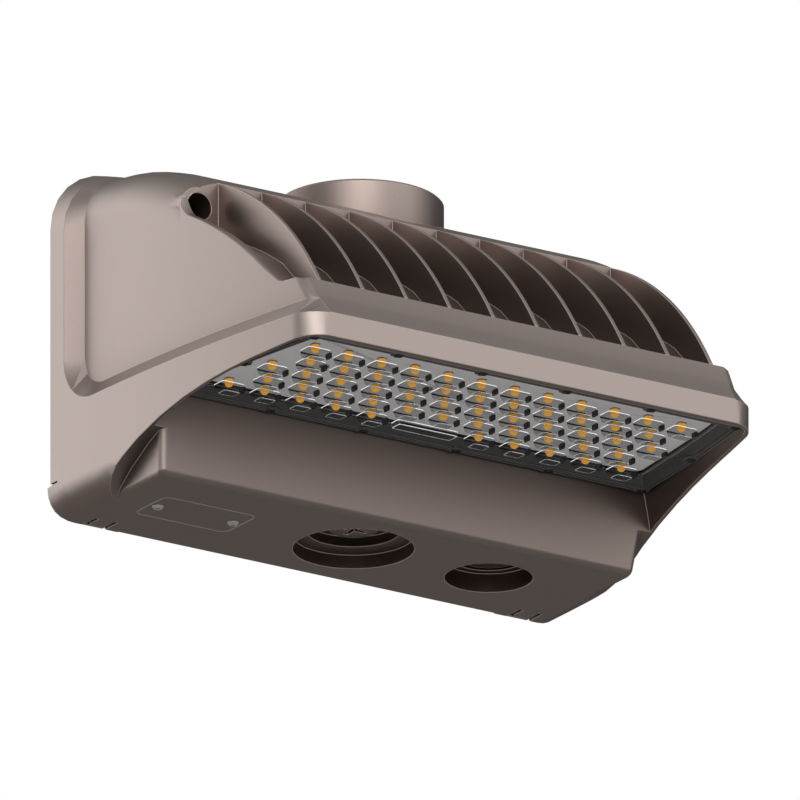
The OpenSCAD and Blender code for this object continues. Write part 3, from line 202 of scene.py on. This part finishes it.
def surface(name, color, rough, metal=0.0, grainScale=1500.0, grainDepth=0.15, edge=0.0005, vary=0.06,
            wearAndHighlight=0.0, wearAndHighlightColor=(1.0, 1.0, 1.0), dirt=0.0, paintedGlow=0.0, paintedEdgeHighlight=0.0, shadeAmount=0.0):
    material, tree, shader = newMaterial(name)
    grained = useGroup(tree, grain, Scale=grainScale, Depth=grainDepth, Edge=edge)
    tree.links.new(grained["Normal"], shader.inputs["Normal"])
    light = tuple(min(1, c) for c in scaled(color, 1 + vary))
    base = mixColor(tree, grained["Value"], scaled(color, 1 - vary), light)
    # Painted glow: the colour is shown brighter to the camera, though the part is no lamp
    shader.inputs["Emission Color"].default_value = (*scaled(color, paintedGlow), 1)
    # Lighter edges: partly wear, partly a painted highlight where rounded edges catch light
    if wearAndHighlight:
        wornAndLitEdges = useGroup(tree, edgeMask, Radius=edge, Gain=wearAndHighlight)["Mask"]
        base = mixColor(tree, wornAndLitEdges, base, wearAndHighlightColor)
        # Painted highlight: the edges glow brighter than the faces
        paintedLightColor = mixColor(tree, wornAndLitEdges, scaled(color, paintedGlow), scaled(color, paintedGlow + paintedEdgeHighlight))
        tree.links.new(paintedLightColor, shader.inputs["Emission Color"])
    if dirt:
        dusty = useGroup(tree, dust, Scale=effects["dustScale"], Amount=dirt)["Mask"]
        base = mixColor(tree, dusty, base, effects["dustColor"])
    # Painted shade: the colour is darkened by shadeTint where faces are hidden in channels and under ledges
    if shadeAmount:
        shaded = useGroup(tree, depthShade, Distance=effects["shadeReach"], Power=effects["shadePower"],
                          Amount=shadeAmount)["Value"]
        shadedColor = tuple(c * tint for c, tint in zip(color, effects["shadeTint"]))
        base = mixColor(tree, shaded, shadedColor, base)
    tree.links.new(base, shader.inputs["Base Color"])
    roughness = mathNode(tree, "MULTIPLY_ADD", grained["Value"], effects["roughRange"],
                         rough - effects["roughRange"] / 2)
    tree.links.new(roughness, shader.inputs["Roughness"])
    shader.inputs["Metallic"].default_value = metal
    tree.links.new(seenOnly(tree), shader.inputs["Emission Strength"])
    return material


# Clear moulded plastic, seen through by its Alpha: faces as solid as body says with a dark painted shade,
# edges brighter with a painted highlight that glows for the camera
clear = {"rough": 0.06, "edgeGain": 7.0, "ior": 1.49, "paintedFaceShade": (0.1, 0.105, 0.11),
         "edgeHighlightColor": (0.9, 0.92, 0.93)}


def clearPlastic(name, body, outline, edge, paintedGlow):
    material, tree, shader = newMaterial(name)
    shader.inputs["Roughness"].default_value = clear["rough"]
    mask = useGroup(tree, edgeMask, Radius=edge, Gain=clear["edgeGain"])["Mask"]
    glance = tree.nodes.new("ShaderNodeFresnel")
    glance.inputs["IOR"].default_value = clear["ior"]
    facing = tree.nodes.new("ShaderNodeNewGeometry")
    outward = mathNode(tree, "SUBTRACT", 1.0, facing.outputs["Backfacing"])
    edgeHighlightShare = mathNode(tree, "MULTIPLY", mask, outline)
    solid = mathNode(tree, "ADD", mathNode(tree, "ADD", glance.outputs[0], body), edgeHighlightShare, clamp=True)
    tree.links.new(mathNode(tree, "MULTIPLY", solid, outward), shader.inputs["Alpha"])
    tree.links.new(mixColor(tree, mask, clear["paintedFaceShade"], clear["edgeHighlightColor"]), shader.inputs["Base Color"])
    paintedLightColor = mixColor(tree, mask, (0.0, 0.0, 0.0), scaled(clear["edgeHighlightColor"], paintedGlow))
    tree.links.new(paintedLightColor, shader.inputs["Emission Color"])
    tree.links.new(seenOnly(tree), shader.inputs["Emission Strength"])
    return material


# One material for each slot of the record
# The coat: lighter edges (wear and a painted highlight), a painted edge glow, dust, and painted shade in
# channels and under ledges
coatLook = {"color": (0.41, 0.34, 0.31), "rough": 0.34, "metal": 0.85, "grainScale": 1400.0,
            "grainDepth": 0.3, "edge": 0.0008, "wearAndHighlight": 2.2, "wearAndHighlightColor": (0.85, 0.74, 0.68),
            "dirt": 0.2, "paintedEdgeHighlight": 0.75, "shadeAmount": 0.85}
materials = {
    "bronze_coat": surface("bronze coat", **coatLook),
    "zinc_steel": surface("zinc steel", (0.62, 0.63, 0.65), rough=0.33, metal=1.0, grainScale=500.0,
                          vary=0.1),
    # Screw steel with a faint painted glow
    "screw_steel": surface("screw steel", (0.78, 0.78, 0.8), rough=0.2, metal=1.0, grainDepth=0.05,
                           edge=0.0003, paintedGlow=0.06),
    # Black screws, with lighter edges: wear and a painted highlight
    "black_screw": surface("black screw", (0.03, 0.03, 0.032), rough=0.3, metal=0.3, edge=0.0003,
                           wearAndHighlight=2.0, wearAndHighlightColor=(0.25, 0.25, 0.26)),
    "seal_rubber": surface("seal rubber", (0.03, 0.03, 0.03), rough=0.6, edge=0.0003),
    # The board and the chips are made brighter by a painted glow
    "board": surface("board", (0.85, 0.84, 0.84), rough=0.45, metal=0.1, grainDepth=0.05, edge=0.0002,
                     paintedGlow=0.28),
    "chip": surface("chip", (0.85, 0.4, 0.03), rough=0.35, grainDepth=0.1, edge=0.0002, paintedGlow=0.75),
    "driver_case": surface("driver case", (0.75, 0.75, 0.76), rough=0.35, metal=0.9, grainScale=300.0),
    "terminal_plastic": surface("terminal plastic", (0.5, 0.51, 0.52), rough=0.5),
    "surge_plastic": surface("surge plastic", (0.8, 0.27, 0.05), rough=0.4),
    "green_screw": surface("green screw", (0.06, 0.3, 0.1), rough=0.3, metal=0.7),
    "selector_green": surface("selector green", (0.03, 0.22, 0.08), rough=0.4),
    "knob_white": surface("knob white", (0.86, 0.86, 0.84), rough=0.3),
    # The lens plastic: painted shade on its faces, painted highlights on its edges
    "clear_lens": clearPlastic("clear lens", body=0.34, outline=0.9, edge=0.0008, paintedGlow=1.2),
}

# Four more for details that share a slot with a piece above
# The plate's pane, with the same painted shade and edge highlight
clearPlate = clearPlastic("clear plate", body=0.06, outline=0.5, edge=0.0005, paintedGlow=0.8)
# Painted shade: dark glossy pieces beside and behind each lens, with painted highlights on their edges
paintedLensShade = surface("painted lens shade", (0.06, 0.065, 0.07), rough=0.15, grainDepth=0.02, edge=0.0003,
                    wearAndHighlight=1.5, wearAndHighlightColor=(0.7, 0.72, 0.74))
chipWhite = surface("chip white", (0.85, 0.85, 0.82), rough=0.4)
# Dark plastic of the rim, ridges and clips, with painted highlights on its edges and a faint painted glow
plasticDark = surface("plastic dark", (0.075, 0.075, 0.073), rough=0.14, edge=0.0005, wearAndHighlight=3.0,
                      wearAndHighlightColor=(0.6, 0.61, 0.62), paintedGlow=0.12)

slotOf = {part["node"]: part["material_slot"] for part in frame["record"]["subparts"]}
bodyOf = {name: body for body, names in frame["record"]["behaviour"]["bodies"].items() for name in names}
for name, node in nodes.items():
    node.data.materials.clear()
    node.data.materials.append(materials[slotOf[name]])
print("materials made")

# Helpers for meshes


def newObject(name, mesh, *paints):
    obj = bpy.data.objects.new(name, mesh)
    scene.collection.objects.link(obj)
    for paint in paints:
        mesh.materials.append(paint)
    return obj


def settle(obj, node):  # rides with the node's body and stands for it
    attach(obj, bodyOf[node])
    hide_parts(node)


def welded(node, distance=0.00001):
    work = bmesh.new()
    work.from_mesh(nodes[node].data)
    bmesh.ops.remove_doubles(work, verts=work.verts, dist=distance)
    return work


def islands(node):  # the middle of each separate solid of a node
    work, found, seen = welded(node), [], set()
    for vert in work.verts:
        if vert in seen:
            continue
        group, queue = [], [vert]
        seen.add(vert)
        while queue:
            at = queue.pop()
            group.append(at.co.copy())
            for edge in at.link_edges:
                other = edge.other_vert(at)
                if other not in seen:
                    seen.add(other)
                    queue.append(other)
        low = Vector([min(p[k] for p in group) for k in range(3)])
        high = Vector([max(p[k] for p in group) for k in range(3)])
        found.append((low + high) / 2)
    work.free()
    return found


def ringsMesh(name, rings, closed=False):  # a skin over a row of rings, capped unless it closes on itself
    work = bmesh.new()
    rows = [[work.verts.new(p) for p in ring] for ring in rings]
    count = len(rows[0])
    pairs = list(zip(rows, rows[1:])) + ([(rows[-1], rows[0])] if closed else [])
    for low, high in pairs:
        for k in range(count):
            work.faces.new((low[k], low[(k + 1) % count], high[(k + 1) % count], high[k]))
    if not closed:
        work.faces.new(list(reversed(rows[0])))
        work.faces.new(rows[-1])
    bmesh.ops.recalc_face_normals(work, faces=work.faces)
    mesh = bpy.data.meshes.new(name)
    work.to_mesh(mesh)
    work.free()
    return mesh


def smoothByAngle(mesh, degrees):
    loaded = mesh.attributes.get("custom_normal")  # the loaded normals don't fit a welded mesh
    if loaded:
        mesh.attributes.remove(loaded)
    mesh.polygons.foreach_set("use_smooth", [True] * len(mesh.polygons))
    mesh.set_sharp_from_angle(angle=math.radians(degrees))


def roundRect(halfX, halfY, z, power, count=32):  # a ring in mm: at power 2 an ellipse, squarer above it
    ring = []
    for k in range(count):
        angle = 2 * math.pi * k / count
        c, s = math.cos(angle), math.sin(angle)
        x, y = (math.copysign(abs(v) ** (2 / power), v) for v in (c, s))
        ring.append(Vector((x * halfX, y * halfY, z)) * mm)
    return ring


def circle(radius, z, count):
    return roundRect(radius, radius, z, 2, count)


def level(points, z):
    return [Vector((p.x, p.y, z)) for p in points]


# The cast housing: the CAD mesh with its small facets shaded as one surface
housing = {"smoothAngle": 24, "weight": 90}
work = welded("housing")
housingMesh = bpy.data.meshes.new("housing cast")
work.to_mesh(housingMesh)
work.free()
smoothByAngle(housingMesh, housing["smoothAngle"])
housingObject = newObject("housing_cast", housingMesh, materials["bronze_coat"])
weigh = housingObject.modifiers.new("weigh", "WEIGHTED_NORMAL")
weigh.keep_sharp = True
weigh.weight = housing["weight"]
housingObject.data = bpy.data.meshes.new_from_object(
    housingObject.evaluated_get(bpy.context.evaluated_depsgraph_get()))
housingObject.modifiers.clear()
settle(housingObject, "housing")
print("housing shaded")


# One tree places a unit, made of an outer piece and a core, on each point
def makeSpread():
    tree = bpy.data.node_groups.new("spread", "GeometryNodeTree")
    inputs = {"Geometry": "NodeSocketGeometry", "Outer": "NodeSocketObject", "Core": "NodeSocketObject",
              "Outer material": "NodeSocketMaterial", "Core material": "NodeSocketMaterial",
              "Size": "NodeSocketFloat"}
    sockets = {label: tree.interface.new_socket(label, in_out="INPUT", socket_type=kind)
               for label, kind in inputs.items()}
    sockets["Size"].default_value = 1.0
    tree.interface.new_socket("Geometry", in_out="OUTPUT", socket_type="NodeSocketGeometry")
    start, end = tree.nodes.new("NodeGroupInput"), tree.nodes.new("NodeGroupOutput")
    join = tree.nodes.new("GeometryNodeJoinGeometry")
    for label in ("Outer", "Core"):
        info = tree.nodes.new("GeometryNodeObjectInfo")
        spreadNode = tree.nodes.new("GeometryNodeInstanceOnPoints")
        realize = tree.nodes.new("GeometryNodeRealizeInstances")
        paint = tree.nodes.new("GeometryNodeSetMaterial")
        tree.links.new(start.outputs[label], info.inputs["Object"])
        tree.links.new(start.outputs["Geometry"], spreadNode.inputs["Points"])
        tree.links.new(info.outputs["Geometry"], spreadNode.inputs["Instance"])
        tree.links.new(start.outputs["Size"], spreadNode.inputs["Scale"])
        tree.links.new(spreadNode.outputs[0], realize.inputs[0])
        tree.links.new(realize.outputs[0], paint.inputs["Geometry"])
        tree.links.new(start.outputs[label + " material"], paint.inputs["Material"])
        tree.links.new(paint.outputs[0], join.inputs[0])
    tree.links.new(join.outputs[0], end.inputs[0])
    return tree, {label: socket.identifier for label, socket in sockets.items()}


spreadTree, spreadKeys = makeSpread()


def spread(name, points, outer, core, outerPaint, corePaint, size=1.0, smoothAngle=35):
    base = bpy.data.meshes.new(name + " points")
    base.from_pydata(points, [], [])
    holder = newObject(name + " points", base)
    outerObject, coreObject = newObject(name + " outer", outer), newObject(name + " core", core)
    modifier = holder.modifiers.new("spread", "NODES")
    modifier.node_group = spreadTree
    for label, value in (("Outer", outerObject), ("Core", coreObject), ("Outer material", outerPaint),
                         ("Core material", corePaint), ("Size", size)):
        modifier[spreadKeys[label]] = value
    holder.data.update()
    evaluated = holder.evaluated_get(bpy.context.evaluated_depsgraph_get())
    mesh = bpy.data.meshes.new_from_object(evaluated)
    mesh.name = name
    for spare in (holder, outerObject, coreObject):
        bpy.data.objects.remove(spare)
    smoothByAngle(mesh, smoothAngle)
    return mesh


# Clear optic: a thin pane in a thick ridged rim, a moulded lens under each LED and a long blank block
# where the back row leaves its middle free. Steps are shares of a size: across, then down.
optic = {"plateThick": 4, "rimWide": 10.5, "rimSlope": 0.6, "paneThick": 1.2,
         "ridgeIn": (1.4, 3.6), "ridgeWide": 1.1, "ridgeHigh": 1.1,
         "lensHalfX": 7.8, "lensHalfY": 5.7, "lensHigh": 5.2, "lensPower": 7.0,
         "lensSteps": ((1, 0), (0.99, 0.3), (0.9, 0.72), (0.68, 1)),
         "hollowX": 9.4, "hollowHalf": (0.9, 2.6), "hollowHigh": 3.2,
         "barY": 6.0, "barHalf": (6.6, 0.25), "barHigh": 1.0,
         "shadeFrom": 0.1, "shadePower": 5.0, "shadePoints": 16,
         "blankHalf": (21, 4.6), "blankY": -130, "blankHigh": 3, "blankPower": 12.0,
         "blankSteps": ((1, 0), (0.97, 1)), "flatWithin": 0.01}
plateNode = nodes["optic_plate"].data
plateTop = max(v.co.z for v in plateNode.vertices)
plateFace = plateTop - optic["plateThick"] * mm
paneFace = plateTop - optic["paneThick"] * mm
chipPlaces = islands("led_chips")
flat = [v.co.xy for v in plateNode.vertices if abs(v.co.z - plateTop) < optic["flatWithin"] * mm]
outline = [flat[k] for k in convex_hull_2d(flat)]


def drawnIn(points, inset, leastLean=0.5):  # a convex outline, drawn in, with no long spikes at its corners
    result = []
    count = len(points)
    middle = sum((Vector(p) for p in points), Vector((0, 0))) / count
    for k in range(count):
        a, b, c = points[k - 1], points[k], points[(k + 1) % count]
        before, after = (b - a).normalized(), (c - b).normalized()
        normal = Vector((-before.y - after.y, before.x + after.x)).normalized()
        if normal.dot(middle - b) < 0:
            normal = -normal
        lean = max(leastLean, math.sqrt(max(0.0, (1 + before.dot(after)) / 2)))
        result.append(b + normal * inset / lean)
    return result


paneOutline = drawnIn(outline, optic["rimWide"] * mm)
rimMesh = ringsMesh("rim", [level(outline, plateTop), level(outline, plateFace),
                            level(drawnIn(outline, optic["rimWide"] * optic["rimSlope"] * mm), plateFace),
                            level(paneOutline, paneFace), level(paneOutline, plateTop)], closed=True)
blankPlace = Vector((0, optic["blankY"] * mm, paneFace))
blankMesh = ringsMesh("blank", [[p + blankPlace
                                 for p in roundRect(*(half * across for half in optic["blankHalf"]),
                                                    -optic["blankHigh"] * down, optic["blankPower"])]
                                for across, down in optic["blankSteps"]])
plateMesh = ringsMesh("plate", [level(paneOutline, paneFace), level(paneOutline, plateTop)])
ridgeMeshes = []
for inset in optic["ridgeIn"]:
    near, far = drawnIn(outline, inset * mm), drawnIn(outline, (inset + optic["ridgeWide"]) * mm)
    low = plateFace - optic["ridgeHigh"] * mm
    ridgeMeshes.append(ringsMesh("ridge", [level(near, plateFace), level(near, low), level(far, low),
                                           level(far, plateFace)], closed=True))
lensMesh = ringsMesh("lens", [roundRect(optic["lensHalfX"] * across, optic["lensHalfY"] * across,
                                        -optic["lensHigh"] * down, optic["lensPower"])
                              for across, down in optic["lensSteps"]])


def shadeMesh():  # painted shade: a dark piece for the shaded hollow beside a lens and a dark bar behind it
    work = bmesh.new()
    for x, y, half, high in ((optic["hollowX"], 0, optic["hollowHalf"], optic["hollowHigh"]),
                             (0, optic["barY"], optic["barHalf"], optic["barHigh"])):
        rings = [roundRect(*half, z, optic["shadePower"], optic["shadePoints"])
                 for z in (-optic["shadeFrom"], -high)]
        piece = ringsMesh("piece", [[p + Vector((x, y, 0)) * mm for p in ring] for ring in rings])
        work.from_mesh(piece)
        bpy.data.meshes.remove(piece)
    mesh = bpy.data.meshes.new("painted lens shade")
    work.to_mesh(mesh)
    work.free()
    return mesh


lensMeshes = spread("lenses", level(chipPlaces, paneFace), lensMesh, shadeMesh(), materials["clear_lens"],
                    paintedLensShade)
plateMesh.materials.append(clearPlate)
blankMesh.materials.append(materials["clear_lens"])
for mesh in [rimMesh] + ridgeMeshes:
    mesh.materials.append(plasticDark)
opticParts = [newObject("optic part", m) for m in [plateMesh, rimMesh, blankMesh, lensMeshes] + ridgeMeshes]
with bpy.context.temp_override(active_object=opticParts[0], selected_editable_objects=opticParts):
    bpy.ops.object.join()
opticParts[0].name = "optic_with_lenses"
settle(opticParts[0], "optic_plate")
print("optic made:", len(chipPlaces), "lenses")

# LED chips: a square white package, and under it a yellow dome on a short column
chip = {"half": 2.35, "high": 0.8, "power": 8.0, "points": 16, "domeRadius": 2.6, "domeDepth": 5.6,
        "domeTurn": 88, "domeSteps": 7, "domePoints": 20}
boardFace = max(v.co.z for v in nodes["led_chips"].data.vertices)
chipBase = ringsMesh("chip base", [roundRect(chip["half"], chip["half"], z, chip["power"], chip["points"])
                                   for z in (0, -chip["high"])])
domeRings = [circle(chip["domeRadius"], -chip["high"], chip["domePoints"])]
for k in range(chip["domeSteps"] + 1):
    angle = math.radians(chip["domeTurn"] * k / chip["domeSteps"])
    z = -chip["domeDepth"] + chip["domeRadius"] * (1 - math.sin(angle))
    domeRings.append(circle(chip["domeRadius"] * math.cos(angle), z, chip["domePoints"]))
chipMesh = spread("LED chips", level(chipPlaces, boardFace), chipBase, ringsMesh("chip dome", domeRings),
                  chipWhite, materials["chip"])
settle(newObject("led_packages", chipMesh), "led_chips")
print("chips made")

# Lens screws: black heads with a round recess, on scalloped clips. A head's steps are shares of its
# radius and height, a clip's are a share of its thickness and mm drawn in.
screw = {"headRadius": 3.1, "headHigh": 1.7, "headPoints": 24, "headSteps": ((1, 0), (0.96, 0.7), (0.8, 1)),
         "recessRadius": 1.5, "recessFloor": 0.4, "clipRadius": 4.7, "clipThick": 1.0, "clipPoints": 48,
         "clipSteps": ((0, 0), (0.7, 0), (1, 0.4)), "scallop": 0.5, "lobes": 8}
clipRings = []
for down, inset in screw["clipSteps"]:
    ring = []
    for k in range(screw["clipPoints"]):
        angle = 2 * math.pi * k / screw["clipPoints"]
        r = screw["clipRadius"] - inset + screw["scallop"] * math.cos(screw["lobes"] * angle)
        ring.append(Vector((r * math.cos(angle), r * math.sin(angle), -screw["clipThick"] * down)) * mm)
    clipRings.append(ring)
headRings = [circle(screw["headRadius"] * across, -screw["headHigh"] * down, screw["headPoints"])
             for across, down in screw["headSteps"]]
recessRings = [circle(screw["recessRadius"], -screw["headHigh"] * down, screw["headPoints"])
               for down in (1, screw["recessFloor"])]
screwMesh = spread("lens screws", level(islands("lens_screws"), plateFace), ringsMesh("clip", clipRings),
                   ringsMesh("screw head", headRings + recessRings), plasticDark, materials["black_screw"])
settle(newObject("lens_screws_clips", screwMesh), "lens_screws")
print("lens screws made")

# Surroundings: white to the camera, and soft patches of light in the reflections
sky = {"level": 0.07, "white": 1.0,
       "patches": (((-0.50, 0.78, 0.38), 8, 1.52),  # direction, tightness and strength
                   ((0.30, 0.0, 0.95), 8, 0.25),
                   ((0.52, -0.78, 0.34), 7, 1.05),
                   ((-0.52, -0.79, 0.33), 7, 2.8),
                   ((0.3, -0.6, 0.75), 10, 0.5),
                   ((-0.95, 0.05, 0.05), 6, 0.35))}
world = bpy.data.worlds.new("world")
scene.world = world
world.use_nodes = True
tree = world.node_tree
coords = tree.nodes.new("ShaderNodeTexCoord")
total = sky["level"]
for direction, tightness, strength in sky["patches"]:
    dot = tree.nodes.new("ShaderNodeVectorMath")
    dot.operation = "DOT_PRODUCT"
    tree.links.new(coords.outputs["Generated"], dot.inputs[0])
    dot.inputs[1].default_value = Vector(direction).normalized()
    patch = mathNode(tree, "POWER", mathNode(tree, "MAXIMUM", dot.outputs["Value"], 0.0), tightness)
    total = mathNode(tree, "ADD", mathNode(tree, "MULTIPLY", patch, strength), total)
path = tree.nodes.new("ShaderNodeLightPath")
strengthNode = tree.nodes.new("ShaderNodeMix")
tree.links.new(path.outputs["Is Camera Ray"], strengthNode.inputs["Factor"])
tree.links.new(total, strengthNode.inputs[2])
strengthNode.inputs[3].default_value = sky["white"]
background = tree.nodes["Background"]
tree.links.new(strengthNode.outputs[0], background.inputs["Strength"])
background.inputs["Color"].default_value = (1, 1, 1, 1)

# Plain pale floor, far below so that it only closes the scene. Other rays than the camera's see its
# bounce colours, a painted shade that keeps the underside dark; they fade from the front's to the
# rear's, a little darker, by the fade each metre.
ground = {"half": 6.0, "z": -1.5, "color": (0.9, 0.9, 0.9), "rough": 0.9,
          "bounceFront": (0.25, 0.245, 0.24), "bounceRear": (0.24, 0.22, 0.21),
          "fade": 0.8, "fadeMiddle": 0.5}
groundMaterial, tree, groundShader = newMaterial("floor")
path = tree.nodes.new("ShaderNodeLightPath")
coords = tree.nodes.new("ShaderNodeTexCoord")
split = tree.nodes.new("ShaderNodeSeparateXYZ")
tree.links.new(coords.outputs["Object"], split.inputs[0])
rearward = mathNode(tree, "MULTIPLY_ADD", split.outputs["Y"], ground["fade"], ground["fadeMiddle"],
                    clamp=True)
shadedBounce = mixColor(tree, rearward, ground["bounceFront"], ground["bounceRear"])
groundColor = mixColor(tree, path.outputs["Is Camera Ray"], shadedBounce, ground["color"])
tree.links.new(groundColor, groundShader.inputs["Base Color"])
groundShader.inputs["Roughness"].default_value = ground["rough"]
floorMesh = bpy.data.meshes.new("floor")
floorMesh.from_pydata([(x * ground["half"], y * ground["half"], ground["z"])
                       for x, y in ((-1, -1), (1, -1), (1, 1), (-1, 1))], [], [(0, 1, 2, 3)])
newObject("floor", floorMesh, groundMaterial)

# A faint sun from high up, behind and to the left
key = {"energy": 0.12, "angle": 0.9, "from": (-0.45, 0.35, 0.82)}
sun = bpy.data.objects.new("key", bpy.data.lights.new("key", "SUN"))
scene.collection.objects.link(sun)
sun.data.energy = key["energy"]
sun.data.angle = key["angle"]
sun.rotation_euler = Vector(key["from"]).to_track_quat("Z", "Y").to_euler()
scene.view_settings.view_transform = "Standard"
print("light and floor set")
